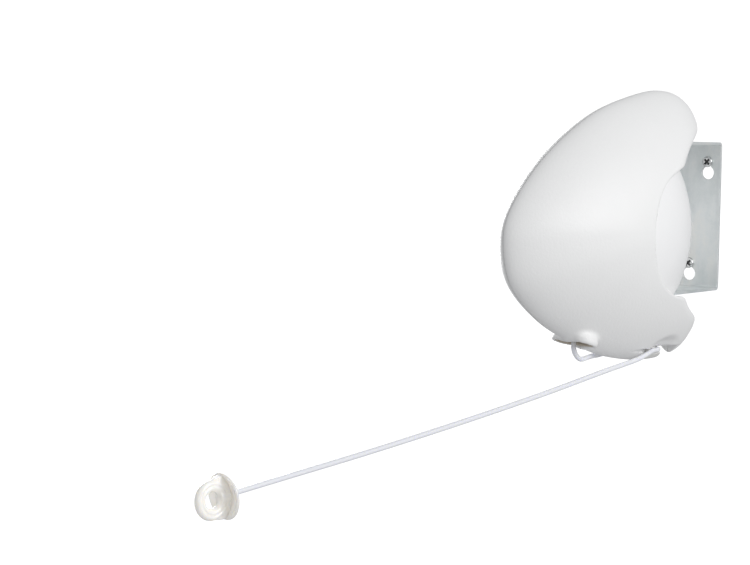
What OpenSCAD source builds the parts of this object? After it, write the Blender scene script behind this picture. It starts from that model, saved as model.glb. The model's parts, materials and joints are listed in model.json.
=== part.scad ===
// Wall-mounted retractable clothesline.
// The origin is midway between the two wall screws, on the wall's surface.
// +Y points into the wall, +Z up, and +X to the right when facing the wall.

/* [Bracket] */
// Width of the wall plate and of its two flanges
bracket_w = 36; // [34:1:36]
// Height of the bracket over both flanges
bracket_h = 116; // [115:1:117]
// Thickness of the folded sheet
sheet_t = 2; // [1.6:0.2:2.2]
// Outer radius of the sheet's two bends
bend_r = 3.6; // [3:0.2:5]
// Distance of the swivel axis from the wall
pivot_y = 65; // [62:1:70]
// Sideways distance of each wall screw from the middle
screw_x = 7; // [5:1:9]
// Height of each wall screw above or below the middle
screw_z = 40; // [36:1:40]

/* [Housing] */
// Angle that the housing is turned to the left of straight out
swivel = 13; // [0:1:30]
// Half of the housing's greatest width
half_width = 50; // [48:1:54]
// Wall thickness of the two shells
wall_t = 3; // [2:0.5:3]
// Radius of the round side disc
disc_r = 48.5; // [47:0.5:50]

/* [Reel] */
// Radius of the reel's flanges
reel_r = 52; // [50:1:52]
// Radius of the drum that the line is wound on
drum_r = 22; // [18:1:26]
// Outer radius of the wound line
wound_r = 46; // [44:1:46]
// Width of the wound line
wound_w = 40; // [30:1:40]
// Radius of the fixed axle
axle_r = 4; // [3:0.5:4.5]

/* [Line] */
// Diameter of the clothes line
line_d = 3.8; // [3:0.1:4]

/* [End fitting] */
// Radius of the domed end cap
cap_r = 16.5; // [15:0.5:18]
// Outer radius of the eyelet ring
eye_r = 13.5; // [12.5:0.5:14]
// Radius of the eyelet's hole
eye_hole_r = 5.5; // [5:0.5:6]
// Thickness of the eyelet ring
eye_t = 6; // [5:0.5:7]

/* [Hidden] */

$fn = 64;
eps = 0.02;            // overrun of a cutting tool past a face
plate_mid = -2.5;      // height of the plate's middle, below the middle of its screws
flange_z = bracket_h / 2;
line_r = line_d / 2;

// Side outline of the housing, forward and up from the swivel axis, closed, from the nose upwards
outline = [
    [172, -17], [167, 6], [145, 34], [116, 58], [80, 79], [44, 91], [10, 97],
    [-17, 92], [-33, 75], [-40, 35], [-44, -10], [-42, -50], [-35, -85],
    [-16, -103], [20, -108], [62, -103], [98, -91], [134, -73], [163, -47]
];
egg_mid = [48, -6];    // where the housing is widest
keel_front = 0.5;      // how much of the section is a keel at the nose
keel_rear = 0.65;      // the same at the rear
outline_steps = 3;     // points on each stretch of the outline
egg_rings = 9;         // rings from the widest place out to the outline

notch_mid = [-35, -5]; // rear notch that leaves room for the bracket
notch_r = 68;
disc_mid = [13.5, -9]; // middle of the side disc
dome_mid = [62, -64, -9];
dome_r = 112;

slot_gap = 0.8;        // room beside a flange in its slot
slot_low = 54.5;       // the slot's two faces, from the plate's middle
slot_high = 59.5;
swing = 35;            // swivel to each side of straight out
boss_r = 9;
bush_r = 5;
pin_r = 3;
pin_fit = 0.05;        // radial clearance of a running fit
pin_in = 45;           // ends of a pivot pin, from the plate's middle
pin_out = 72;
bush_in = [46.5, 54.5];
bush_out = [59.5, 70];
washer_t = 1.1;
clip_t = 0.8;

screw_posts = [[20, 72], [98, 46], [152, -18], [122, -62], [-14, -84]];
post_r = 5.5;
screw_core = 1.6;

reel_mid = [62, -8];   // the reel's axle, forward and up
flange_t = 2;
axle_half = 38;
cup_r = 42;
cup_depth = 8;
cup_wall = 1.6;
cover_t = 1;
spring_w = 5.5;
spring_turns = 7;
spring_t = 0.7;
arbor_r = 7;

mouth_mid = [94, -89.5];
mouth_tilt = 162;      // turns +Z to the way the mouth faces
mouth_half = 9.5;      // half the distance between the mouth's two round ends
lip_r = 11;
mouth_r = 7.5;
guide_r = 5.2;

slot_top = -97.8;      // cleat slot, above the tongue
tongue_top = -102.4;
tongue_low = -108;
tongue_front = 34;
tongue_half = 11.5;
tongue_tip = 13;
lobe_low = -101;
post_mid = [14, 2];
cleat_post_r = 6;
peg_r = 3.5;

cap_mid = [436, 12, -171.5];
cap_tilt = 9;          // slope of the line where it meets the cap
cap_depth = 8;
cap_wall = 1.8;
eye_x = 9;             // middle of the eyelet, beyond the cap's rim
ferrule_r = 3.2;

// Middle of the free line: out of the mouth, back under the housing, round the cleat's post
// and away to the end cap. Forward, sideways and up from the swivel axis.
line_route = [
    [94, 0, -84], [94.4, 0, -88], [95.3, 0.3, -92], [95.6, 0.8, -95.6], [94.6, 1.3, -99],
    [92.2, 1.5, -101.8], [88.6, 1, -103.6], [84, 0, -103.9], [78, -2, -103.4],
    [68, -6, -103.2], [56, -10, -103.2], [44, -12.9, -102.4], [33, -13.4, -101.2],
    [22, -9.5, -100.1], [16, -7.3, -100.1], [11.25, -5.56, -100.1], [7.83, -3.17, -100.1],
    [6.07, 0.6, -100.1], [6.44, 4.75, -100.1], [8.83, 8.17, -100.1], [12.6, 9.93, -100.1],
    [16.6, 10.7, -100.2], [20, 11.6, -100.4], [25, 13.2, -101.4], [32, 14.7, -103.1],
    [45, 16, -106], [80, 16, -112.4], [140, 16, -124], [200, 15.5, -134.7], [260, 15, -144.7], [320, 14, -154.2],
    [380, 13, -163], [422, 12, -169.3], [431.6, 12, -170.8]
];

// Catmull-Rom point between b and c, at t from 0 to 1
function blend_point(a, b, c, d, t) =
    0.5 * (2 * b + (c - a) * t + (2 * a - 5 * b + 4 * c - d) * t * t
    + (3 * b - a - 3 * c + d) * t * t * t);

// A smooth closed curve through points p
function closed_curve(p, steps) = let (n = len(p)) [
    for (i = [0 : n - 1], s = [0 : steps - 1])
        blend_point(p[(i + n - 1) % n], p[i], p[(i + 1) % n], p[(i + 2) % n], s / steps)
];

// A smooth open curve through points p, with a number of steps set by each stretch's length
function open_curve(p, spacing) = let (n = len(p)) [
    for (i = [0 : n - 2])
        let (steps = max(1, min(3, floor(norm(p[i + 1] - p[i]) / spacing))))
        for (s = [0 : steps - 1])
            blend_point(p[max(i - 1, 0)], p[i], p[i + 1], p[min(i + 2, n - 1)], s / steps),
    p[n - 1]
];

function unit(v) = v / norm(v);

// Direction of a path at point i
function heading(p, i) = unit(p[min(i + 1, len(p) - 1)] - p[max(i - 1, 0)]);

// Sideways direction at each point, carried along so that the tube doesn't twist
function sideways(p, i) = i == 0
    ? unit(cross(heading(p, 0), [1, 0, 0]))
    : let (h = heading(p, i), last = sideways(p, i - 1)) unit(last - (last * h) * h);

// Share of the widest half section that is left at s, from 0 in the middle to 1 on the outline
function section(s, keel) = keel * (1 - s * s) + (1 - keel) * sqrt(max(0, 1 - s * s));

module tube(path, r, sides) {
    n = len(path);
    points = [
        for (i = [0 : n - 1])
            let (h = heading(path, i), a = sideways(path, i), b = cross(h, a))
            for (k = [0 : sides - 1])
                path[i] + r * (a * cos(360 * k / sides) + b * sin(360 * k / sides))
    ];
    walls = [
        for (i = [0 : n - 2], k = [0 : sides - 1])
            let (m = (k + 1) % sides, p = i * sides, q = p + sides)
            each [[p + k, q + m, p + m], [p + k, q + k, q + m]]
    ];
    first = [for (k = [0 : sides - 1]) k];
    last = [for (k = [0 : sides - 1]) n * sides - 1 - k];
    polyhedron(points, concat([first], walls, [last]));
}

// Moves a child from the housing's own axes (forward, sideways, up from the swivel axis)
module on_housing() {
    translate([0, -pivot_y, plate_mid])
        rotate([0, 0, -90 - swivel])
            children();
}

// Moves a child that is built along +Z to lie sideways in the housing at a point of the side view
module sideways_at(p, y = 0) {
    translate([p[0], y, p[1]])
        rotate([-90, 0, 0])
            children();
}

module at_mouth() {
    translate([mouth_mid[0], 0, mouth_mid[1]])
        rotate([0, mouth_tilt, 0])
            children();
}

module at_cap() {
    translate(cap_mid)
        rotate([0, cap_tilt, 0])
            children();
}

// Turns a child that is built along +Z to lie along the cap's axis
module along_cap(x) {
    at_cap()
        translate([x, 0, 0])
            rotate([0, 90, 0])
                children();
}

// ---- bracket ----

module keyhole() {
    circle(r = 2.4);
    translate([-2.4, -8.5]) square([4.8, 8.5]);
    translate([0, -8.5]) circle(r = 5.2);
}

// Side view of a block that reaches out from the wall, with its two corners at the wall rounded
module rounded_block(near, half, r) {
    far = -pivot_y - bracket_w;
    translate([far, -half]) square([near - r - far, 2 * half]);
    translate([near - r - eps, r - half]) square([r + eps, 2 * (half - r)]);
    for (side = [-1, 1])
        translate([near - r, side * (half - r)]) circle(r = r);
}

module wall_bracket() {
    color("silver")
    translate([0, 0, plate_mid])
    difference() {
        intersection() {
            translate([-bracket_w / 2, 0, 0])
                rotate([90, 0, 90])
                    linear_extrude(bracket_w)
                        difference() {
                            rounded_block(0, flange_z, bend_r);
                            rounded_block(-sheet_t, flange_z - sheet_t, bend_r - sheet_t);
                        }
            translate([0, 0, -flange_z - 1])
                linear_extrude(bracket_h + 2) {
                    translate([-bracket_w / 2 - 1, -pivot_y]) square([bracket_w + 2, pivot_y + 1]);
                    translate([0, -pivot_y]) circle(r = bracket_w / 2);
                }
        }
        for (side = [1, -1])
            translate([side * screw_x, -sheet_t - 1, side * screw_z - plate_mid])
                rotate([-90, 0, 0])
                    mirror([0, 1])
                        linear_extrude(sheet_t + 2) keyhole();
        translate([0, -pivot_y, -flange_z - 1])
            cylinder(r = pin_r, h = bracket_h + 2);
    }
}

module wall_screw() {
    shank = 14;
    difference() {
        union() {
            rotate([-90, 0, 0]) cylinder(r = 2.1, h = shank);
            translate([0, -sheet_t, 0]) rotate([-90, 0, 0]) cylinder(r = 2.3, h = sheet_t);
            translate([0, -sheet_t - 2.4, 0])
                rotate([-90, 0, 0])
                    cylinder(r1 = 3.2, r2 = 4.1, h = 2.4);
        }
        for (turn = [45, 135])
            translate([0, -sheet_t - 2.5, 0])
                rotate([0, turn, 0])
                    translate([-2.3, 0, -0.5]) cube([4.6, 1.6, 1]);
    }
}

module wall_screws() {
    color("gainsboro")
    for (side = [1, -1])
        translate([side * screw_x, 0, side * screw_z]) wall_screw();
}

module pivot_pin(side) {
    translate([0, -pivot_y, plate_mid])
        mirror([0, 0, side < 0 ? 1 : 0])
            difference() {
                translate([0, 0, pin_in]) cylinder(r = pin_r, h = pin_out - pin_in);
                translate([0, 0, pin_out - 1 - clip_t])
                    difference() {
                        cylinder(r = pin_r + 1, h = clip_t);
                        translate([0, 0, -1]) cylinder(r = pin_r - 0.6, h = clip_t + 2);
                    }
            }
}

module upper_pivot_pin() {
    color("lightgray") pivot_pin(1);
}

module lower_pivot_pin() {
    color("lightgray") pivot_pin(-1);
}

module pin_clips() {
    color("dimgray")
    for (side = [0, 1])
        translate([0, -pivot_y, plate_mid])
            mirror([0, 0, side])
                translate([0, 0, pin_out - 1 - clip_t])
                    difference() {
                        cylinder(r = 4.8, h = clip_t);
                        translate([0, 0, -1]) cylinder(r = pin_r - 0.6, h = clip_t + 2);
                        translate([-1.6, 0, -1]) cube([3.2, 6, clip_t + 2]);
                    }
}

// ---- housing shells ----

// Half of the egg-shaped body, on the +Y side, shrunk by a wall thickness
module half_egg(shrink) {
    curve = closed_curve(outline, outline_steps);
    n = len(curve);
    scaled = [
        for (p = curve)
            let (d = p - egg_mid) egg_mid + d * (1 - shrink / norm(d))
    ];
    keels = [
        for (p = curve)
            let (d = unit(p - egg_mid)) keel_rear + (keel_front - keel_rear) * (1 + d[0]) / 2
    ];
    base = shrink > 0 ? -1 : 0;
    top = half_width - shrink;
    points = concat(
        [[egg_mid[0], top, egg_mid[1]]],
        [
            for (j = [1 : egg_rings], i = [0 : n - 1])
                let (s = sin(90 * j / egg_rings), q = egg_mid + (scaled[i] - egg_mid) * s)
                [q[0], top * section(s, keels[i]), q[1]]
        ],
        shrink > 0 ? [for (q = scaled) [q[0], base, q[1]]] : [],
        [[egg_mid[0], base, egg_mid[1]]]
    );
    rows = shrink > 0 ? egg_rings : egg_rings - 1;
    last_row = 1 + rows * n;
    polyhedron(points, concat(
        [for (i = [0 : n - 1]) [0, 1 + i, 1 + (i + 1) % n]],
        [
            for (j = [0 : rows - 1], i = [0 : n - 1])
                let (a = 1 + j * n + i, b = 1 + j * n + (i + 1) % n)
                each [[a, b + n, b], [a, a + n, b + n]]
        ],
        [for (i = [0 : n - 1]) [last_row + (i + 1) % n, last_row + i, len(points) - 1]]
    ));
}

module side_cylinder(p, r) {
    sideways_at(p, -2) cylinder(r = r, h = 80, $fn = 96);
}

// The part of the side view that the rear notch takes away, grown by a wall thickness
module notch_cut(grow) {
    difference() {
        side_cylinder(notch_mid, notch_r + grow);
        side_cylinder(disc_mid, disc_r - grow);
    }
}

// What lies outside the disc's dome, inside the disc's rim
module dome_cut(grow) {
    difference() {
        side_cylinder(disc_mid, disc_r + grow);
        translate(dome_mid) sphere(r = dome_r - grow, $fn = 128);
    }
}

// Area that a flange sweeps as the housing swivels
module flange_sweep(grow) {
    half = bracket_w / 2 + slot_gap + grow;
    circle(r = half);
    for (a = [-swing : swing / 2 : swing])
        rotate(a)
            translate([-90, -half]) square([90, 2 * half]);
}

module flange_slots(grow) {
    for (side = [0, 1])
        mirror([0, 0, side])
            translate([0, 0, slot_low - grow])
                linear_extrude(slot_high - slot_low + 2 * grow) flange_sweep(grow);
}

module pivot_bosses() {
    for (side = [0, 1])
        mirror([0, 0, side])
            translate([0, 0, 30]) cylinder(r = boss_r, h = bush_out[1] - 30);
}

module pivot_bores() {
    for (side = [0, 1])
        mirror([0, 0, side]) {
            for (b = [bush_in, bush_out])
                translate([0, 0, b[0] - eps]) cylinder(r = bush_r, h = b[1] - b[0] + 2 * eps);
            translate([0, 0, pin_in - 1]) cylinder(r = pin_r + 0.5, h = 4);
        }
}

module outer_body() {
    difference() {
        half_egg(0);
        notch_cut(0);
        dome_cut(0);
    }
}

module cavity(axle_boss) {
    difference() {
        half_egg(wall_t);
        notch_cut(wall_t);
        dome_cut(wall_t);
        flange_slots(2.5);
        pivot_bosses();
        for (p = screw_posts) side_cylinder(p, post_r);
        sideways_at(reel_mid, axle_boss) cylinder(r = 9, h = 40);
        translate([-60, -2, -120]) cube([tongue_front + wall_t + 60, 80, 120 + slot_top + wall_t]);
        at_mouth() translate([0, 0, -4]) stadium(lip_r, 20);
    }
}

// An oval block with round ends, built along +Z
module stadium(r, h) {
    for (y = [-mouth_half, mouth_half])
        translate([0, y, 0]) cylinder(r = r, h = h);
    translate([-r, -mouth_half, 0]) cube([2 * r, 2 * mouth_half, h]);
}

module cleat_space() {
    translate([-12, -60, tongue_low - 10]) cube([tongue_front + 12, 120, slot_top - tongue_low + 10]);
    translate([-60, -60, -130]) cube([62, 120, 130 + lobe_low]);
}

// Bearing blocks for the pivot pins, between the side disc and the flanges' slots
module inner_bosses() {
    intersection() {
        for (side = [0, 1])
            mirror([0, 0, side])
                translate([0, 0, 30]) cylinder(r = boss_r, h = slot_low - 30);
        translate([-20, 0, -80]) cube([40, 20, 160]);
    }
}

// One shell, on the +Y side. axle_boss is where its boss for the reel's axle starts.
module half_shell(axle_boss) {
    difference() {
        union() {
            outer_body();
            inner_bosses();
            intersection() {
                at_mouth() translate([0, 0, -4]) stadium(lip_r, 7.5);
                translate([60, 0, -110]) cube([60, 40, 50]);
            }
        }
        cavity(axle_boss);
        at_mouth() translate([0, 0, -20]) stadium(mouth_r, 40);
        cleat_space();
        flange_slots(0);
        pivot_bores();
        translate([post_mid[0], 0, slot_top - 1]) cylinder(r = peg_r, h = 7);
        for (p = screw_posts) sideways_at(p, -1) cylinder(r = screw_core, h = 13);
        sideways_at(reel_mid, -1) cylinder(r = axle_r, h = axle_half + 1);
    }
}

module near_shell() {
    color("white") on_housing() half_shell(wound_w / 2 + flange_t + 2);
}

module far_shell() {
    color("white") on_housing() mirror([0, 1, 0]) half_shell(cup_depth + cover_t - cup_low + 1);
}

// ---- housing hardware ----

module bush(b) {
    translate([0, 0, b[0]])
        difference() {
            cylinder(r = bush_r, h = b[1] - b[0]);
            translate([0, 0, -1]) cylinder(r = pin_r + pin_fit, h = b[1] - b[0] + 2);
        }
}

module upper_bushes() {
    color("ivory")
    on_housing()
        for (b = [bush_in, bush_out]) bush(b);
}

module lower_bushes() {
    color("ivory")
    on_housing()
        mirror([0, 0, 1])
            for (b = [bush_in, bush_out]) bush(b);
}

module thrust_washers() {
    color("dimgray")
    on_housing()
        for (side = [0, 1], low = [slot_low, slot_high - washer_t])
            mirror([0, 0, side])
                translate([0, 0, low])
                    difference() {
                        cylinder(r = 7, h = washer_t);
                        translate([0, 0, -1]) cylinder(r = pin_r + 0.3, h = washer_t + 2);
                    }
}

module housing_screws() {
    color("gray")
    on_housing()
        for (p = screw_posts)
            sideways_at(p, -11) cylinder(r = screw_core, h = 22);
}

module reel_axle() {
    color("lightgray")
    on_housing()
        sideways_at(reel_mid, -axle_half) cylinder(r = axle_r, h = 2 * axle_half);
}

cup_low = -wound_w / 2 - flange_t;     // sideways place of the cup's floor

module spring_arbor() {
    color("whitesmoke")
    on_housing()
        sideways_at(reel_mid, cup_low - cup_depth + 0.6)
            difference() {
                cylinder(r = arbor_r, h = cup_depth - 1.2);
                translate([0, 0, -1]) cylinder(r = axle_r, h = cup_depth + 2);
            }
}

function spiral_r(a) = arbor_r + spring_t / 2
    + (cup_r - cup_wall - 2 - arbor_r) * a / (360 * spring_turns);

module spiral_spring() {
    step = 15;
    turns = [for (a = [0 : step : 360 * spring_turns]) a];
    inner = [for (a = turns) (spiral_r(a) - spring_t / 2) * [cos(a), sin(a)]];
    outer = [for (i = [len(turns) - 1 : -1 : 0])
        (spiral_r(turns[i]) + spring_t / 2) * [cos(turns[i]), sin(turns[i])]];
    color("slategray")
    on_housing()
        sideways_at(reel_mid, cup_low - cup_depth / 2 - spring_w / 2)
            linear_extrude(spring_w) polygon(concat(inner, outer));
}

module line_cleat() {
    color("whitesmoke")
    on_housing() {
        translate([0, 0, tongue_low])
            linear_extrude(tongue_top - tongue_low) {
                translate([tongue_tip, -tongue_half]) square([tongue_front - tongue_tip, 2 * tongue_half]);
                intersection() {
                    translate([tongue_tip, 0]) circle(r = tongue_half);
                    translate([3, -tongue_half]) square([20, 2 * tongue_half]);
                }
            }
        translate([post_mid[0], post_mid[1], tongue_top - eps])
            cylinder(r = cleat_post_r, h = slot_top - tongue_top + eps);
        translate([post_mid[0], 0, slot_top - eps]) cylinder(r = peg_r, h = 5.5);
    }
}

module mouth_guide() {
    color("wheat")
    on_housing()
        at_mouth()
            difference() {
                translate([0, 0, -8]) stadium(mouth_r, 10.5);
                translate([0, 0, -9]) stadium(guide_r, 13);
            }
}

// Angle on the reel's rim where the line leaves it for the mouth
mouth_gap = [line_route[0][0], line_route[0][2]] - reel_mid;
coil_r = wound_r + line_r + 0.3;
leave_a = atan2(mouth_gap[1], mouth_gap[0]) + acos(coil_r / norm(mouth_gap));
leave_p = reel_mid + coil_r * [cos(leave_a), sin(leave_a)];

module inner_line() {
    a = [leave_p[0], 0, leave_p[1]];
    b = line_route[0];
    color("lavender")
    on_housing()
        translate(b)
            rotate([0, atan2(a[0] - b[0], a[2] - b[2]), 0])
                cylinder(r = line_r, h = norm(a - b));
}

module clothes_line() {
    color("lavender") on_housing() tube(open_curve(line_route, 4), line_r, 8);
}

// ---- reel ----

module reel_drum() {
    color("darkgray")
    on_housing()
        sideways_at(reel_mid, -wound_w / 2)
            difference() {
                cylinder(r = drum_r, h = wound_w);
                translate([0, 0, 3])
                    difference() {
                        cylinder(r = drum_r - 2.5, h = wound_w);
                        cylinder(r = axle_r + 5, h = wound_w);
                    }
                translate([0, 0, -1]) cylinder(r = axle_r + 2, h = wound_w + 2);
            }
}

module reel_flange(y) {
    on_housing()
        sideways_at(reel_mid, y)
            difference() {
                cylinder(r = reel_r, h = flange_t, $fn = 96);
                translate([0, 0, -1]) cylinder(r = axle_r + 2, h = flange_t + 2);
                for (a = [30 : 60 : 330])
                    rotate(a)
                        translate([34, 0, -1]) cylinder(r = 7, h = flange_t + 2);
            }
}

module near_reel_flange() {
    color("gainsboro") reel_flange(wound_w / 2);
}

module far_reel_flange() {
    color("gainsboro") reel_flange(-wound_w / 2 - flange_t);
}

module spring_cup() {
    color("gainsboro")
    on_housing()
        sideways_at(reel_mid, cup_low - cup_depth)
            difference() {
                cylinder(r = cup_r, h = cup_depth);
                translate([0, 0, -1]) cylinder(r = cup_r - cup_wall, h = cup_depth + 2);
            }
}

module spring_cover() {
    color("darkgray")
    on_housing()
        sideways_at(reel_mid, cup_low - cup_depth - cover_t)
            difference() {
                cylinder(r = cup_r, h = cover_t);
                translate([0, 0, -1]) cylinder(r = axle_r + 0.5, h = cover_t + 2);
            }
}

module reel_bushes() {
    length = 8;
    color("ivory")
    on_housing()
        for (y = [-wound_w / 2, wound_w / 2 - length])
            sideways_at(reel_mid, y)
                difference() {
                    cylinder(r = axle_r + 2, h = length);
                    translate([0, 0, -1]) cylinder(r = axle_r + pin_fit, h = length + 2);
                }
}

module wound_line() {
    color("lavender")
    on_housing()
        sideways_at(reel_mid, -wound_w / 2)
            difference() {
                cylinder(r = wound_r, h = wound_w, $fn = 96);
                translate([0, 0, -1]) cylinder(r = drum_r, h = wound_w + 2);
            }
}

module line_anchor() {
    color("gray")
    on_housing()
        sideways_at(reel_mid, wound_w / 2 + flange_t)
            translate([14, -3, 0]) {
                cube([9, 6, 1.2]);
                translate([4.5, 3, 0]) cylinder(r = 2, h = 1.8);
            }
}

// ---- end fitting ----

cap_ball_r = (cap_r * cap_r + cap_depth * cap_depth) / (2 * cap_depth);

module dome(r) {
    intersection() {
        translate([0, 0, cap_ball_r - cap_depth]) sphere(r = r);
        translate([0, 0, -30]) cylinder(r = cap_r + 5, h = 30);
    }
}

module end_cap() {
    color("ivory")
    on_housing()
        along_cap(0)
            difference() {
                union() {
                    difference() {
                        dome(cap_ball_r);
                        dome(cap_ball_r - cap_wall);
                    }
                    translate([0, 0, -cap_depth - 2]) cylinder(r1 = 3.6, r2 = 4.6, h = 4);
                }
                translate([0, 0, -20]) cylinder(r = line_r + 0.3, h = 24);
            }
}

module end_eyelet() {
    color("ivory")
    on_housing()
        difference() {
            intersection() {
                at_cap() {
                    translate([eye_x, eye_t / 2, 0])
                        rotate([90, 0, 0]) cylinder(r = eye_r, h = eye_t);
                    translate([-6, -2, -14]) cube([8, 4, 28]);
                }
                along_cap(0) {
                    cylinder(r = 30, h = 40);
                    dome(cap_ball_r - cap_wall);
                }
            }
            at_cap()
                translate([eye_x, eye_t, 0])
                    rotate([90, 0, 0]) cylinder(r = eye_hole_r, h = 2 * eye_t);
            along_cap(-20) cylinder(r = ferrule_r, h = 20);
        }
}

module line_ferrule() {
    color("silver")
    on_housing() along_cap(-4.2) cylinder(r = ferrule_r, h = 4.2);
}

wall_bracket();
wall_screws();
upper_pivot_pin();
lower_pivot_pin();
pin_clips();
near_shell();
far_shell();
upper_bushes();
lower_bushes();
thrust_washers();
housing_screws();
reel_axle();
spring_arbor();
spiral_spring();
line_cleat();
mouth_guide();
inner_line();
clothes_line();
reel_drum();
near_reel_flange();
far_reel_flange();
spring_cup();
spring_cover();
reel_bushes();
wound_line();
line_anchor();
end_cap();
end_eyelet();
line_ferrule();
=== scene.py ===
"""Wall-mounted retractable clothesline: the visual model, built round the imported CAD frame."""
import json
import math

import bmesh
import bpy
import numpy as np
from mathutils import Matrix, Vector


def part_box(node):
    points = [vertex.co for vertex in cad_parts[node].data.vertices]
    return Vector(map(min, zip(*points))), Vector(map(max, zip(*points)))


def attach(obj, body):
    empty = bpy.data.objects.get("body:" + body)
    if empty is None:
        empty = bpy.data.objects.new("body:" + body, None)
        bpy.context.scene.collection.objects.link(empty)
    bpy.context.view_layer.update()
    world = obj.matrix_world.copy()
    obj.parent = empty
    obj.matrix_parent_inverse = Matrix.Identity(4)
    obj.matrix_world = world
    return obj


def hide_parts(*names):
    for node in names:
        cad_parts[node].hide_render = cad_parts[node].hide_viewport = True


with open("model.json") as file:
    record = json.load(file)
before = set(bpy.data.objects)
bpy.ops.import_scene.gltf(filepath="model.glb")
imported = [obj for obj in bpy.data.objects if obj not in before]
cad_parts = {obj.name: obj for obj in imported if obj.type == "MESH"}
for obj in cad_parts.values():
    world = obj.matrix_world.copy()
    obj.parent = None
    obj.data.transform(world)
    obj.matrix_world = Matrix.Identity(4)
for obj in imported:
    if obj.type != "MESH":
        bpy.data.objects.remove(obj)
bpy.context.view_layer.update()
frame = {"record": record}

import openvdb
from mathutils import Matrix, Vector

scene = bpy.context.scene
record = frame["record"]
MM = 0.001

# ---------------------------------------------------------------- the housing's own axes
# u is forward, v sideways towards the side that shows the disc, w up, in mm from the swivel axis
# at the wall plate's middle.

joints = {j["name"]: j for j in record["behaviour"]["joints"]}
SIDE = np.array(joints["reel_spin"]["axis"])
FORWARD = np.array([SIDE[1], -SIDE[0], 0.0])
PLATE_LO, PLATE_HI = (np.array(c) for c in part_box("wall_bracket"))
PIVOT = np.array([*joints["housing_swivel"]["pos_m"][:2], (PLATE_LO[2] + PLATE_HI[2]) / 2])


def to_world(points):
    p = np.asarray(points, float) * MM
    up = np.array([0.0, 0.0, 1.0])
    return PIVOT + p[..., :1] * FORWARD + p[..., 1:2] * SIDE + p[..., 2:3] * up


# ---------------------------------------------------------------- camera

AZIMUTH, PITCH, ROLL = (math.radians(a) for a in (34.54, 4.175, 1.062))
ahead = Vector((-math.sin(AZIMUTH) * math.cos(PITCH), math.cos(AZIMUTH) * math.cos(PITCH), -math.sin(PITCH)))
right = ahead.cross(Vector((0, 0, 1))).normalized()
over = right.cross(ahead)
cam_x = right * math.cos(ROLL) + over * math.sin(ROLL)
cam_y = over * math.cos(ROLL) - right * math.sin(ROLL)
camera = bpy.data.objects.new("camera", bpy.data.cameras.new("camera"))
camera.data.lens = 112.5
camera.data.sensor_width = 36
camera.data.clip_start, camera.data.clip_end = 0.05, 60
camera.matrix_world = Matrix((cam_x, cam_y, -ahead)).transposed().to_4x4()
camera.location = (0.83776, -1.66695, 0.07466)
scene.collection.objects.link(camera)
scene.camera = camera

# ---------------------------------------------------------------- node materials


class Nodes:
    """A material with one Principled shader, and short calls to add nodes to it."""

    def __init__(self, name, color, rough=0.5, metallic=0.0, coat=0.0, coat_rough=0.1, **more):
        self.mat = bpy.data.materials.new(name)
        self.mat.use_nodes = True
        self.tree = self.mat.node_tree
        self.shader = next(n for n in self.tree.nodes if n.type == "BSDF_PRINCIPLED")
        self.set("Base Color", (*color, 1))
        self.set("Roughness", rough)
        self.set("Metallic", metallic)
        self.set("Coat Weight", coat)
        self.set("Coat Roughness", coat_rough)
        for socket, value in more.items():
            self.set(socket.replace("_", " "), value)
        self.coords = self.tree.nodes.new("ShaderNodeTexCoord").outputs["Object"]
        self.mat.diffuse_color = (*color, 1)

    def set(self, socket, value):
        self.shader.inputs[socket].default_value = value

    def node(self, kind, ins=(), **props):
        n = self.tree.nodes.new("ShaderNode" + kind)
        for key, value in props.items():
            setattr(n, key, value)
        for key, value in dict(ins).items():
            if isinstance(value, bpy.types.NodeSocket):
                self.tree.links.new(value, n.inputs[key])
            else:
                n.inputs[key].default_value = value
        return n

    def link(self, out, socket):
        self.tree.links.new(out, self.shader.inputs[socket])

    def noise(self, scale, detail=2.0, rough=0.5, vector=None):
        ins = {"Vector": vector or self.coords, "Scale": scale, "Detail": detail, "Roughness": rough}
        return self.node("TexNoise", ins).outputs["Fac"]

    def ramp(self, fac, *stops):
        n = self.node("ValToRGB", {"Fac": fac})
        while len(n.color_ramp.elements) < len(stops):
            n.color_ramp.elements.new(0.5)
        for element, (at, color) in zip(n.color_ramp.elements, stops):
            element.position = at
            element.color = (*color, 1)
        return n.outputs["Color"]

    def spread(self, fac, low, high):
        return self.node("MapRange", {"Value": fac, "To Min": low, "To Max": high}).outputs["Result"]

    def math(self, operation, a, b=0.0, c=0.0):
        return self.node("Math", {0: a, 1: b, 2: c}, operation=operation).outputs[0]

    def bump(self, height, distance, strength=1.0):
        n = self.node("Bump", {"Height": height, "Distance": distance, "Strength": strength})
        self.link(n.outputs["Normal"], "Normal")
        return n


def shaded(color, k):
    return tuple(c * k for c in color)


def moulded(name, color, rough, grain=0.0, grain_size=1.2, coat=0.0, patch=0.985, **more):
    """Moulded plastic: a faint cloudiness in colour and gloss, and a fine moulded grain."""
    m = Nodes(name, color, rough, coat=coat, coat_rough=0.15, **more)
    cloud = m.noise(28, 4, 0.6)
    m.link(m.ramp(cloud, (0.25, shaded(color, patch)), (0.75, color)), "Base Color")
    m.link(m.spread(m.noise(60, 3), rough - 0.04, rough + 0.04), "Roughness")
    if grain:
        m.bump(m.noise(1000 / grain_size, 3, 0.6), grain * MM)
    return m.mat


def spangled_metal(name, dark, light, rough, scale, brushed):
    """Plated steel: spangled patches, uneven gloss and a fine brushed grain."""
    m = Nodes(name, light, rough, metallic=1.0)
    cells = m.node("TexVoronoi", {"Vector": m.coords, "Scale": scale}).outputs["Color"]
    cell = m.node("SeparateColor", {"Color": cells}).outputs[0]
    cloud = m.noise(34, 5, 0.6)
    mixed = m.math("MULTIPLY_ADD", cell, 0.22, m.math("MULTIPLY", cloud, 0.78))
    m.link(m.ramp(mixed, (0.3, dark), (0.72, light)), "Base Color")
    m.link(m.spread(mixed, rough + 0.08, rough - 0.08), "Roughness")
    m.bump(m.noise(900, 3), brushed * MM)
    return m.mat


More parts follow.
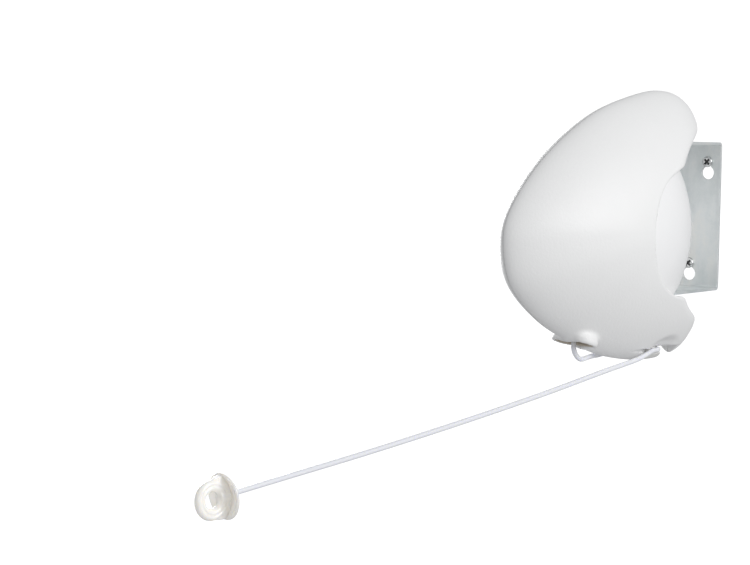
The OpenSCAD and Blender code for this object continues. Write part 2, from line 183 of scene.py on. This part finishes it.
WHITE = (0.86, 0.86, 0.855)
shell_mat = moulded("shell_plastic", WHITE, 0.46, grain=0.14, grain_size=2.0)
disc_mat = moulded("shell_disc", (0.90, 0.90, 0.90), 0.36, grain=0.012, grain_size=2.4)
cleat_mat = moulded("cleat_plastic", (0.84, 0.835, 0.81), 0.40, grain=0.01)
guide_mat = moulded("guide_plastic", (0.50, 0.44, 0.35), 0.5, grain=0.02)
glowing_ivory_mat = moulded(
    "ivory_plastic", (0.94, 0.915, 0.875), 0.26, coat=0.25, grain=0.03, grain_size=3.2, patch=0.95,
    Subsurface_Weight=0.7, Subsurface_Radius=(1.0, 0.9, 0.75), Subsurface_Scale=0.006, IOR=1.47,
    # The faint warm emission is painted light: a glow on the cap and eyelet, which are no lamp.
    Emission_Color=(1, 0.96, 0.88, 1), Emission_Strength=0.07,
)
line_mat = moulded(
    "line_pvc", (0.84, 0.85, 0.89), 0.32, coat=0.4, grain=0.006, grain_size=1.5,
    Subsurface_Weight=0.2, Subsurface_Radius=(0.8, 0.8, 1.0), Subsurface_Scale=0.0015,
)


def zinc():
    """Zinc-plated sheet: bluish grey with warmer clouds, lengthwise rolling marks and dull spots."""
    m = Nodes("zinc_steel", (0.76, 0.79, 0.79), 0.42, metallic=0.65)
    stretched = m.node("Mapping", {"Vector": m.coords, "Scale": (1, 1, 0.35)}).outputs["Vector"]
    cloud = m.noise(30, 6, 0.62, stretched)
    fine = m.noise(300, 4, 0.7)
    tone = m.math("MULTIPLY_ADD", fine, 0.14, m.math("MULTIPLY", cloud, 0.86))
    stops = (0.34, (0.62, 0.67, 0.675)), (0.52, (0.76, 0.79, 0.79)), (0.68, (0.86, 0.855, 0.82))
    m.link(m.ramp(tone, *stops), "Base Color")
    m.link(m.spread(tone, 0.52, 0.33), "Roughness")
    rolled = m.node("Mapping", {"Vector": m.coords, "Scale": (1, 1, 0.06)}).outputs["Vector"]
    m.bump(m.noise(1400, 3, 0.6, rolled), 0.02 * MM)
    return m.mat


def wound():
    """Line wound on the reel: one ridge for each turn, slightly uneven, with painted shade in the grooves
    between turns.
    """
    m = Nodes("line_wound", (0.74, 0.755, 0.85), 0.34, coat=0.3)
    across = m.node("VectorMath", {0: m.coords, 1: tuple(SIDE)}, operation="DOT_PRODUCT").outputs["Value"]
    wobble = m.math("MULTIPLY_ADD", m.noise(25, 2), 0.0015, across)
    ridge = m.math("ABSOLUTE", m.math("SINE", m.math("MULTIPLY", wobble, math.pi / 0.0038)))
    # The dark end of this ramp is painted shade in the grooves between turns; the bump gives the real ridges.
    m.link(m.ramp(ridge, (0.0, (0.38, 0.39, 0.46)), (0.6, (0.74, 0.755, 0.85))), "Base Color")
    m.bump(ridge, 1.2 * MM)
    return m.mat


zinc_mat = zinc()
screw_mat = spangled_metal("screw_steel", (0.52, 0.53, 0.54), (0.86, 0.86, 0.85), 0.24, 600, 0.01)
# Near-black steel for the screws' cross recesses: painted shade in the recesses, on the same steel as the
# heads.
recess_shade_mat = spangled_metal("screw_recess_shade", (0.05, 0.05, 0.05), (0.14, 0.14, 0.14), 0.5, 600, 0.01)
by_slot = {
    "zinc_steel": zinc_mat,
    "screw_steel": screw_mat,
    "pin_steel": spangled_metal("pin_steel", (0.40, 0.41, 0.42), (0.66, 0.67, 0.67), 0.3, 500, 0.01),
    "dark_steel": spangled_metal("dark_steel", (0.03, 0.03, 0.035), (0.09, 0.09, 0.10), 0.4, 500, 0.01),
    "spring_steel": spangled_metal("spring_steel", (0.16, 0.19, 0.26), (0.36, 0.40, 0.47), 0.3, 300, 0.01),
    "shell_plastic": shell_mat,
    "bush_plastic": moulded("bush_plastic", (0.72, 0.68, 0.57), 0.35, grain=0.01),
    "washer_plastic": moulded("washer_plastic", (0.045, 0.045, 0.05), 0.5, grain=0.02, patch=0.8),
    "reel_plastic": moulded("reel_plastic", (0.50, 0.51, 0.52), 0.42, grain=0.02, patch=0.93),
    "guide_plastic": guide_mat,
    "line_pvc": line_mat,
    "ivory_plastic": glowing_ivory_mat,
}
slot_of = {s["node"]: s["material_slot"] for s in record["subparts"]}
wound_mat = wound()
for node in slot_of:
    ob = bpy.data.objects[node]
    for held in ob.material_slots:
        held.material = wound_mat if node == "wound_line" else by_slot[slot_of[node]]

# ---------------------------------------------------------------- meshes


def add(name, points, faces, body, mats, nodes=(), smooth=True):
    """A piece from points in metres. It rides on a body and replaces CAD nodes."""
    mesh = bpy.data.meshes.new(name)
    mesh.from_pydata([tuple(p) for p in points], [], [tuple(f) for f in faces])
    mesh.update()
    for mat in mats:
        mesh.materials.append(mat)
    if smooth:
        mesh.shade_smooth()
    ob = bpy.data.objects.new(name, mesh)
    scene.collection.objects.link(ob)
    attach(ob, body)
    if nodes:
        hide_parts(*nodes)
    return ob


def curve_points(path, spacing):
    """A Catmull-Rom curve through the path's points, with a point about every spacing."""
    p = np.asarray(path, float)
    p = np.vstack([2 * p[0] - p[1], p, 2 * p[-1] - p[-2]])
    out = []
    for a, b, c, d in zip(p, p[1:], p[2:], p[3:]):
        steps = max(1, round(np.linalg.norm(c - b) / spacing))
        t = np.arange(steps)[:, None] / steps
        bend = (2 * a - 5 * b + 4 * c - d) * t**2
        twist = (3 * b - a - 3 * c + d) * t**3
        out.append(0.5 * (2 * b + (c - a) * t + bend + twist))
    return np.vstack([*out, p[-2:-1]])


def tube(path, radius, sides):
    """Points and faces of a round tube along a path, with closed ends."""
    path = np.asarray(path, float)
    ahead_of = np.gradient(path, axis=0)
    ahead_of /= np.linalg.norm(ahead_of, axis=1)[:, None]
    side = np.cross(ahead_of[0], [1, 0, 0])
    points = []
    for p, h in zip(path, ahead_of):
        side = side - h * (side @ h)
        side /= np.linalg.norm(side)
        other = np.cross(h, side)
        turn = np.arange(sides) * 2 * math.pi / sides
        points.append(p + radius * (np.cos(turn)[:, None] * side + np.sin(turn)[:, None] * other))
    n = len(path)
    faces = [
        (i * sides + k, i * sides + (k + 1) % sides, (i + 1) * sides + (k + 1) % sides, (i + 1) * sides + k)
        for i in range(n - 1)
        for k in range(sides)
    ]
    faces += [tuple(range(sides))[::-1], tuple(range((n - 1) * sides, n * sides))]
    return np.vstack(points), faces


# ---------------------------------------------------------------- the free line

LINE_R = 1.9
LINE_ROUTE = [
    (94, 0, -84), (94.4, 0, -88), (95.3, 0.3, -92), (95.6, 0.8, -95.6), (94.6, 1.3, -99),
    (92.2, 1.5, -101.8), (88.6, 1, -103.6), (84, 0, -103.9), (78, -2, -103.4),
    (68, -6, -103.2), (56, -10, -103.2), (44, -12.9, -102.4), (33, -13.4, -101.2),
    (22, -9.5, -100.1), (16, -7.3, -100.1), (11.25, -5.56, -100.1), (7.83, -3.17, -100.1),
    (6.07, 0.6, -100.1), (6.44, 4.75, -100.1), (8.83, 8.17, -100.1), (12.6, 9.93, -100.1),
    (16.6, 10.7, -100.2), (20, 11.6, -100.4), (25, 13.2, -101.4), (32, 14.7, -103.1),
    (45, 16, -106), (80, 16, -112.4), (140, 16, -124), (200, 15.5, -134.7), (260, 15, -144.7),
    (320, 14, -154.2), (380, 13, -163), (422, 12, -169.3), (431.6, 12, -170.8),
]
centre_line = to_world(curve_points(LINE_ROUTE, 1.0))
line_points, line_faces = tube(centre_line, LINE_R * MM, 20)
line = add("free_line", line_points, line_faces, "housing", [line_mat], ["clothes_line"])

# ---------------------------------------------------------------- shapes as distance functions


def smax(a, b, k):
    h = np.clip(0.5 + 0.5 * (a - b) / k, 0, 1)
    return b * (1 - h) + a * h + k * h * (1 - h)


def smin(a, b, k):
    return -smax(-a, -b, k)


def gradient(f, p, step=0.05):
    g = np.empty_like(p)
    for axis in range(3):
        d = np.zeros(3)
        d[axis] = step
        g[:, axis] = (f(*(p + d).T) - f(*(p - d).T)) / (2 * step)
    return g


def surface(f, low, high, step, rounds=4):
    """Points and quads of the surface where f is 0, in mm, wound so that they face outwards."""
    low, high = np.asarray(low, float), np.asarray(high, float)
    count = np.ceil((high - low) / step).astype(int) + 1
    axes = [lo + step * np.arange(n) for lo, n in zip(low, count)]
    field = np.empty(count, np.float32)
    for i, u in enumerate(axes[0]):
        field[i] = f(u, axes[1][:, None], axes[2][None, :])
    grid = openvdb.FloatGrid(float(abs(field).max()))
    grid.copyFromArray(field)
    points, quads = grid.convertToQuads(0.0)
    points = low + points.astype(float) * step
    for _ in range(rounds):
        g = gradient(f, points)
        move = f(*points.T) / np.maximum((g * g).sum(1), 1e-6)
        move = g * move[:, None]
        far = np.linalg.norm(move, axis=1)
        points -= move * np.minimum(1, 0.6 * step / np.maximum(far, 1e-9))[:, None]
    a, b, c = (points[quads[:, i]] for i in (0, 1, 2))
    outward = (np.cross(b - a, c - a) * gradient(f, (a + c) / 2)).sum()
    return points, quads if outward > 0 else quads[:, ::-1]


def thin_out(ob, faces):
    """Fewer faces, where the surface is flat enough."""
    now = sum(len(p.vertices) - 2 for p in ob.data.polygons)
    if now <= faces:
        return
    mod = ob.modifiers.new("fewer", "DECIMATE")
    mod.ratio = faces / now
    mesh = bpy.data.meshes.new_from_object(ob.evaluated_get(bpy.context.evaluated_depsgraph_get()))
    ob.modifiers.clear()
    ob.data = mesh


def smooth_by(ob, f, back):
    """Shading normals straight from the distance function. back turns metres into its axes."""
    mesh = ob.data
    co = np.empty(len(mesh.vertices) * 3)
    mesh.vertices.foreach_get("co", co)
    co = co.reshape(-1, 3)
    local, turn = back(co)
    n = gradient(f, local, 0.08) @ turn
    n /= np.maximum(np.linalg.norm(n, axis=1), 1e-9)[:, None]
    mesh.shade_smooth()
    mesh.normals_split_custom_set_from_vertices([tuple(v) for v in n])


HOUSING_TURN = np.vstack([FORWARD, SIDE, [0, 0, 1]])


def housing_back(co):
    return (co - PIVOT) @ HOUSING_TURN.T / MM, HOUSING_TURN


# The egg-shaped housing

OUTLINE = [
    (172, -17), (167, 6), (145, 34), (116, 58), (80, 79), (44, 91), (10, 97),
    (-17, 92), (-33, 75), (-40, 35), (-44, -10), (-42, -50), (-39, -76),
    (-31.5, -92.5), (-14, -104), (20, -108), (62, -103), (98, -91), (134, -73), (163, -47),
]
EGG_MID = np.array([48.0, -6.0])
HALF_WIDTH = 50.0
WALL = 3.0
DISC_MID, DISC_R = (13.5, -9.0), 48.5
NOTCH_MID, NOTCH_R = (-35.0, -5.0), 68.0
DOME_MID, DOME_R = (62.0, -64.0, -9.0), 112.0
MOUTH_MID, MOUTH_TILT = (94.0, 0.0, -89.5), math.radians(162)
SLOT_TOP, SLOT_FRONT, SLOT_BACK, TONGUE_TOP = -97.8, 23.0, -12.0, -102.4
SWIVEL_BORE, SWIVEL_BOSS = 5.05, 9.0
POSTS = (20, 72), (98, 46), (152, -18), (122, -62), (-14, -84)
POST_R, POST_BORE, POST_REACH = 5.5, 1.65, 12.0

ring = curve_points(OUTLINE[-3:] + OUTLINE + OUTLINE[:3], 2.0)
starts = np.flatnonzero(abs(ring - OUTLINE[0]).sum(1) < 1e-6)
ring = ring[starts[0]:starts[1]]
ring_turn = np.unwrap(np.arctan2(*(ring - EGG_MID).T[::-1]))
ring_reach = np.hypot(*(ring - EGG_MID).T)
order = np.argsort(ring_turn % (2 * math.pi))
ring_turn, ring_reach = (ring_turn % (2 * math.pi))[order], ring_reach[order]


def egg(u, v, w, sideways=False):
    """Near the surface, the distance to the plain egg in mm, or the distance to it sideways."""
    du, dw = u - EGG_MID[0], w - EGG_MID[1]
    rho = np.hypot(du, dw)
    turn = np.arctan2(dw, du) % (2 * math.pi)
    reach = np.interp(turn, ring_turn, ring_reach, period=2 * math.pi)
    keel = 0.65 - 0.15 * (0.5 + 0.5 * du / np.maximum(rho, 1e-6))
    s = rho / reach
    if sideways:
        t = np.minimum(s, 0.995)
        dip = np.sqrt(1 - t * t)
        section = HALF_WIDTH * (keel * dip * dip + (1 - keel) * dip)
        steep = HALF_WIDTH * t * (2 * keel + (1 - keel) / dip) / reach
        return np.abs(v) - np.where(s < 0.995, section, section - (s - 0.995) * reach), np.hypot(1, steep)
    root = np.sqrt((1 - keel) ** 2 + 4 * keel * np.abs(v) / HALF_WIDTH)
    q = (root - (1 - keel)) / (2 * keel)
    slope = np.hypot(2 * s / reach, 2 * q / (root * HALF_WIDTH))
    return (s * s + q * q - 1) / np.maximum(slope, 0.012)


def ball(u, v, w, mid, radius):
    return np.sqrt((u - mid[0]) ** 2 + (np.abs(v) - mid[1]) ** 2 + (w - mid[2]) ** 2) - radius


def disc_rho(u, w):
    return np.hypot(u - DISC_MID[0], w - DISC_MID[1])


def mouth_axes(u, v, w):
    c, s = math.cos(MOUTH_TILT), math.sin(MOUTH_TILT)
    du, dw = u - MOUTH_MID[0], w - MOUTH_MID[2]
    return du * c - dw * s, v, du * s + dw * c


def stadium(a, b, r):
    return np.hypot(a, np.maximum(np.abs(b) - 9.5, 0)) - r


def mouth_hole(a, b, c, r):
    """A stadium that narrows from the mouth inwards, as the housing does."""
    half = np.clip(9.5 + 0.9 * np.minimum(c + 1.5, 0), 2, 9.5)
    return 0.75 * (np.hypot(a, np.maximum(np.abs(b) - half, 0)) - r)


def outer(u, v, w, grow=0.0):
    """The housing's outside, without its openings. grow moves every face inwards."""
    e = egg(u, v, w) + grow
    rho = disc_rho(u, w)
    notch = NOTCH_R + grow - np.hypot(u - NOTCH_MID[0], w - NOTCH_MID[1])
    across, steep = egg(u, v, w, True)
    soft = 9 + 2.5 * np.clip(w / 25, -1, 1)
    blended = smax(across, notch, soft)
    body = np.where(blended > across + 1e-6, blended / np.where(notch > across, 1.2, steep), e)
    body = smax(e, notch, 7) if grow else np.maximum(body, e)
    low = np.clip((-34 - w) / 18, 0, 1)
    body = np.maximum(body, smax(e, notch, 0.5 + 9 * low * low * (3 - 2 * low)))
    dome = ball(u, v, w, DOME_MID, DOME_R) + grow
    rim = DISC_R + grow - rho
    body = np.maximum(body, np.minimum(rim, dome)) if grow else smax(body, rim, 2.6)
    disc = smax(smax(e, dome, 1.2), rho - DISC_R + grow, 0.8)
    return smin(body, disc, 0.5)


SWIVEL_REACH = 35


def flange_room(u, v, w, grow):
    """The slots that the bracket's flanges swing in, over the swivel's whole range."""
    half = 18.8 + grow
    flat = np.hypot(u, v) - half
    for turn in np.radians(np.arange(-SWIVEL_REACH, SWIVEL_REACH + 1, 14)):
        along = u * math.cos(turn) + v * math.sin(turn)
        aside = v * math.cos(turn) - u * math.sin(turn)
        flat = np.minimum(flat, np.maximum(np.abs(aside) - half, along))
    return smax(flat, np.abs(np.abs(w) - 57) - 2.5 - grow, 0.6)


GROOVE_R = 2.5
GROOVE = [
    [(12.6, 9.93, -100.1), (20, 11.6, -100.4), (25, 13.2, -101.4), (32, 14.7, -103.1), (45, 16, -106)],
    [(11.25, 5.56, -100.1), (22, 9.5, -100.1), (33, 13.4, -101.2), (44, 12.9, -102.4)],
]


def line_room(u, v, w):
    """The grooves that the line leaves the cleat's slot through."""
    room = 99.0
    for run in GROOVE:
        for a, b in zip(run, run[1:]):
            along = np.subtract(b, a)
            du, dv, dw = u - a[0], np.abs(v) - a[1], w - a[2]
            t = np.clip((du * along[0] + dv * along[1] + dw * along[2]) / (along @ along), 0, 1)
            apart = (du - t * along[0]) ** 2 + (dv - t * along[1]) ** 2 + (dw - t * along[2]) ** 2
            room = np.minimum(room, np.sqrt(apart) - GROOVE_R)
    return room


def cleat_room(u, v, w):
    """The slot above the cleat's tongue, and the line's grooves out of it."""
    slot = np.maximum(np.maximum(u - SLOT_FRONT, SLOT_BACK - u), w - SLOT_TOP)
    return np.minimum(slot, line_room(u, v, w))


def shell(u, v, w):
    """Both halves of the housing as one: outside, hollow, and every opening and post."""
    a, b, c = mouth_axes(u, v, w)
    lips = smax(mouth_hole(a, b, c, 10.2), np.abs(c + 2.4) - 6, 4)
    solid = smin(outer(u, v, w), lips, 4)
    inside = outer(u, v, w, WALL)
    inside = np.maximum(inside, -flange_room(u, v, w, 2.5))
    inside = np.maximum(inside, SWIVEL_BOSS - np.hypot(u, v))
    inside = np.maximum(inside, -(smax(stadium(a, b, 11), -c - 16, 2)))
    inside = np.maximum(inside, np.minimum(40 - u, -84 - w))
    boss = np.maximum(np.hypot(u, v) - SWIVEL_BOSS, np.abs(np.abs(w) - 48) - 8)
    solid = np.minimum(solid, boss)
    f = smax(solid, -inside, 0.8)
    f = smax(f, -smax(mouth_hole(a, b, c, 7.5), -c - 8.3, 1), 1.6)
    f = smax(f, -smax(np.hypot(a, np.maximum(np.abs(b) - 4, 0)) - 5, -c - 18, 1), 1)
    f = smax(f, -flange_room(u, v, w, 0), 0.9)
    f = smax(f, -cleat_room(u, v, w), 1.2)
    scoop = 13 * (np.sqrt(((u - 8) / 18) ** 2 + ((np.abs(v) - 21.5) / 13) ** 2 + ((w + 103.5) / 13) ** 2) - 1)
    f = smax(f, -scoop, 4)
    f = np.maximum(f, SWIVEL_BORE - np.hypot(u, v) + np.where(np.abs(w) < 71, 0, -99))
    for post_u, post_w in POSTS:
        away = np.hypot(u - post_u, w - post_w)
        post = np.maximum(away - POST_R, np.abs(v) - POST_REACH)
        f = np.minimum(f, np.maximum(post, POST_BORE - away))
    return f


SEAM = 0.14


def build_shells():
    """One surface, cut at the seam into the near half, and mirrored for the far half."""
    points, quads = surface(shell, (-50, -1.5, -113), (176, 54, 101), 1.3)
    for name, node, side in (("shell_near", "near_shell", 1), ("shell_far", "far_shell", -1)):
        faces = quads if side > 0 else quads[:, ::-1]
        local = points * (1, side, 1)
        mesh = bpy.data.meshes.new(name)
        mesh.from_pydata(local.tolist(), [], faces.tolist())
        bm = bmesh.new()
        bm.from_mesh(mesh)
        everything = bm.verts[:] + bm.edges[:] + bm.faces[:]
        cut = bmesh.ops.bisect_plane(
            bm, geom=everything, plane_co=(0, side * SEAM, 0), plane_no=(0, -side, 0), clear_outer=True
        )
        rim = [e for e in bm.edges if e.is_boundary]
        bmesh.ops.triangle_fill(bm, edges=rim, use_beauty=True, use_dissolve=False)
        bmesh.ops.triangulate(bm, faces=bm.faces[:])
        bm.to_mesh(mesh)
        bm.free()
        co = np.empty(len(mesh.vertices) * 3)
        mesh.vertices.foreach_get("co", co)
        mesh.vertices.foreach_set("co", to_world(co.reshape(-1, 3)).ravel())
        ob = bpy.data.objects.new(name, mesh)
        for mat in (shell_mat, disc_mat):
            mesh.materials.append(mat)
        scene.collection.objects.link(ob)
        thin_out(ob, 90000)
        smooth_by(ob, shell, housing_back)
        centre = np.empty(len(ob.data.polygons) * 3)
        ob.data.polygons.foreach_get("center", centre)
        u, v, w = housing_back(centre.reshape(-1, 3))[0].T
        on_disc = (disc_rho(u, w) < DISC_R - 0.8) & (np.abs(v) > 12)
        ob.data.polygons.foreach_set("material_index", on_disc.astype(np.int32))
        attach(ob, "housing")
        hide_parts(node)


build_shells()


def carve(name, f, low, high, step, body, mats, nodes, faces=12000, frame_to=None, frame_back=None):
    """A smooth piece from a distance function in its own axes."""
    points, quads = surface(f, low, high, step)
    ob = add(name, (frame_to or to_world)(points), quads, body, mats, nodes)
    thin_out(ob, faces)
    smooth_by(ob, f, frame_back or housing_back)
    return ob


# Cleat tongue with its post, and the mouth's guide


def cleat(u, v, w):
    """The tongue carries on the housing's underside, and its root is inside the shells."""
    flat = np.where(u < 13, np.hypot(u - 13, v), np.abs(v)) - 11.5
    under = egg(u, v, w) + 0.5 * np.clip((u - 21) / 4, 0, 1)
    plate = smax(smax(smax(flat, under, 2), w - TONGUE_TOP, 1), 2.6 - u, 2)
    plate = smax(plate, u - 34, 0.3)
    post = np.maximum(np.hypot(u - 14, v - 2) - 6, np.abs(w + 100.1) - 2.6)
    f = smin(plate, post, 1.5)
    peg = np.maximum(np.hypot(u - 14, v) - 3.5, np.abs(w + 96) - 4)
    return np.minimum(f, peg)


carve(
    "cleat_tongue", cleat, (0, -14, -110), (37, 14, -90), 0.7, "housing",
    [cleat_mat], ["line_cleat"],
)


def guide(u, v, w):
    """The liner that the line runs through in the mouth."""
    a, b, c = mouth_axes(u, v, w)
    body = smax(mouth_hole(a, b, c, 7.4), np.abs(c + 2.75) - 5.2, 1.0)
    return smax(body, -mouth_hole(a, b, c, 5.2), 1.8)


carve(
    "mouth_liner", guide, (82, -19, -100), (106, 19, -77), 0.7, "housing",
    [guide_mat], ["mouth_guide"],
)

# ---------------------------------------------------------------- end fitting

twist = joints["line_end_twist"]
CAP_X = np.array(twist["axis"])
CAP_TURN = np.vstack([CAP_X, SIDE, np.cross(CAP_X, SIDE)])
CAP_MID = np.array(twist["pos_m"])


def cap_to(p):
    return CAP_MID + (p * MM) @ CAP_TURN


def cap_back(co):
    return (co - CAP_MID) @ CAP_TURN.T / MM, CAP_TURN


CAP_BALL_MID, CAP_BALL_R, CAP_SKIN = 13.02, 20.0, 1.05
RING_MID, RING_R, EYE_R = 9.0, 9.5, 5.5


def cap_shape(x, y, z):
    """A thin dome, part of a ball, with a hub round the line."""
    r = np.hypot(y, z)
    from_mid = np.hypot(x - CAP_BALL_MID, r)
    skin = smax(np.abs(from_mid - CAP_BALL_R) - CAP_SKIN, x + 0.1, 1.6)
    hub = smax(r - (4.2 + 0.2 * (x + 8)), np.abs(x + 8) - 2.4, 1.2)
    f = smin(skin, hub, 1.5)
    return np.maximum(f, LINE_R + 0.25 - r)


def eyelet_shape(x, y, z):
    """The flat ring with its groove, the web and hub behind it, and the disc that fits the cap."""
    r = np.hypot(x - RING_MID, z)
    ring_f = smax(np.abs(r - RING_R) - 4.0, np.abs(y) - 3.0, 4.0)
    groove = np.hypot(r - 9.6, np.abs(y) - 3.3) - 0.9
    ring_f = smax(ring_f, -groove, 0.8)
    web = smax(smax(np.abs(x + 1.5) - 4.2, np.abs(y) - 2.1, 1.2), np.abs(z) - 14, 1.5)
    fin = smax(np.hypot(x - 1.5, z) - 14.6, np.abs(y) - 1.3, 1.0)
    hub = smax(np.hypot(y, z) - 4.2, np.abs(x + 0.8) - 4.2, 1.5)
    f = smin(smin(smin(ring_f, web, 1.6), fin, 0.8), hub, 1.2)
    inside_cap = np.hypot(x - CAP_BALL_MID, np.hypot(y, z)) - (CAP_BALL_R - 0.85)
    f = smax(f, np.where(x < 0, inside_cap, -5), 0.4)
    return smax(f, EYE_R - r, 1.2)


cap = carve(
    "cap_dome", cap_shape, (-13, -19, -19), (3, 19, 19), 0.55, "end_fitting", [glowing_ivory_mat],
    ["end_cap"], 14000, cap_to, cap_back,
)
eyelet = carve(
    "cap_eyelet", eyelet_shape, (-9, -5, -18), (25, 5, 18), 0.5, "end_fitting", [glowing_ivory_mat],
    ["end_eyelet"], 14000, cap_to, cap_back,
)

# ---------------------------------------------------------------- bracket and its screws


def bracket():
    """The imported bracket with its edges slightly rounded."""
    source = bpy.data.objects["wall_bracket"]
    bm = bmesh.new()
    bm.from_mesh(source.data)
    bmesh.ops.remove_doubles(bm, verts=bm.verts[:], dist=1e-6)
    bmesh.ops.dissolve_limit(bm, angle_limit=math.radians(0.5), verts=bm.verts[:], edges=bm.edges[:])
    sharp = [e for e in bm.edges if e.is_manifold and e.calc_face_angle(0) > math.radians(40)]
    bmesh.ops.bevel(
        bm, geom=sharp, offset=0.35 * MM, segments=2, profile=0.6, affect="EDGES", clamp_overlap=True
    )
    mesh = bpy.data.meshes.new("bracket_sheet")
    bm.to_mesh(mesh)
    bm.free()
    mesh.materials.append(zinc_mat)
    ob = bpy.data.objects.new("bracket_sheet", mesh)
    scene.collection.objects.link(ob)
    mesh.shade_smooth()
    weighted = ob.modifiers.new("even", "WEIGHTED_NORMAL")
    weighted.keep_sharp = True
    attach(ob, "bracket")
    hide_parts("wall_bracket")


bracket()


SCREW_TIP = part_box("wall_screws")[1][1] / MM


def screw_shape(x, y, z):
    """A pan-head wall screw along +y, with its head's underside at y = -2 and a cross recess."""
    r = np.hypot(x, z)
    turn = np.arctan2(z, x)
    head = smax(r - 4.25, np.abs(y + 3.2) - 1.25, 1.5)
    cross = np.minimum(
        np.maximum(np.abs(x + z) / 1.414 - 0.7, np.abs(x - z) / 1.414 - 2.7),
        np.maximum(np.abs(x - z) / 1.414 - 0.7, np.abs(x + z) / 1.414 - 2.7),
    )
    cross = smax(cross, y + 3.1, 0.4)
    head = smax(head, -cross, 0.4)
    depth = np.clip((SCREW_TIP + 0.4 - y) / 5, 0, 1)
    thread = 1.72 + 0.34 * np.cos(turn - 2 * math.pi * y / 1.8)
    shank = np.maximum(r - thread * depth - 0.02, np.maximum(-y - 2.6, y - SCREW_TIP)) * 0.7
    return smin(head, shank, 0.4)


for name, centre in (("upper", (7, 0, 40)), ("lower", (-7, 0, -40))):
    shift = np.array(centre) * MM
    screw = carve(
        f"screw_{name}", screw_shape, (-4.6, -5.2, -4.6), (4.6, SCREW_TIP + 0.6, 4.6), 0.3,
        "bracket",
        [screw_mat, recess_shade_mat], ["wall_screws"] if name == "upper" else [], 16000,
        lambda p, s=shift: p * MM + s, lambda co, s=shift: ((co - s) / MM, np.eye(3)),
    )
    # Faces inside the cross recess take the near-black material: painted shade in the recess.
    for face in screw.data.polygons:
        x, y, z = (np.array(face.center) - shift) / MM
        face.material_index = int(np.hypot(x, z) < 3 and -4.25 < y < -2.6)

# ---------------------------------------------------------------- floor, light and background

floor_mat = Nodes("floor", (0.9, 0.9, 0.9), 0.9, Emission_Color=(1, 1, 1, 1), Emission_Strength=0.75)
pale = floor_mat.ramp(floor_mat.noise(3), (0.3, (0.89, 0.89, 0.89)), (0.7, (0.9, 0.9, 0.9)))
floor_mat.link(pale, "Base Color")
floor_mesh = bpy.data.meshes.new("floor")
FLOOR_REACH, FLOOR_Z = 14, -0.6
corners = [(x * FLOOR_REACH, y * FLOOR_REACH, FLOOR_Z) for x, y in ((-1, -1), (1, -1), (1, 1), (-1, 1))]
floor_mesh.from_pydata(corners, [], [(0, 1, 2, 3)])
floor_mesh.materials.append(floor_mat.mat)
floor = bpy.data.objects.new("floor", floor_mesh)
scene.collection.objects.link(floor)
floor.visible_diffuse = False
floor.visible_glossy = False

world = bpy.data.worlds.new("studio")
scene.world = world
world.use_nodes = True
nodes, links = world.node_tree.nodes, world.node_tree.links
nodes.clear()
seen = nodes.new("ShaderNodeBackground")
seen.inputs["Color"].default_value = (1, 1, 1, 1)
seen.inputs["Strength"].default_value = 1.1
fill = nodes.new("ShaderNodeBackground")
fill.inputs["Color"].default_value = (0.97, 0.98, 1, 1)
fill.inputs["Strength"].default_value = 0.46
mix = nodes.new("ShaderNodeMixShader")
path = nodes.new("ShaderNodeLightPath")
out = nodes.new("ShaderNodeOutputWorld")
links.new(path.outputs["Is Camera Ray"], mix.inputs[0])
links.new(fill.outputs[0], mix.inputs[1])
links.new(seen.outputs[0], mix.inputs[2])
links.new(mix.outputs[0], out.inputs[0])


def light(name, place, target, size, power, color=(1, 1, 1)):
    data = bpy.data.lights.new(name, "AREA")
    data.shape = "DISK"
    data.size = size
    data.energy = power
    data.color = color
    ob = bpy.data.objects.new(name, data)
    ob.location = place
    ob.rotation_mode = "QUATERNION"
    ob.rotation_quaternion = (Vector(target) - Vector(place)).to_track_quat("-Z", "Y")
    scene.collection.objects.link(ob)


housing_mid = Vector(to_world((60, 0, -5)))
light("key", (2.1, -0.4, 0.8), housing_mid, 1.4, 30)
light("rim", (-1.4, 0.6, 0.2), housing_mid, 0.8, 22)
light("front", (1.3, -2.2, 0.1), housing_mid, 1.2, 3)

view = scene.view_settings
view.view_transform = "Standard"
view.look = "None"
view.exposure = 0
view.gamma = 1
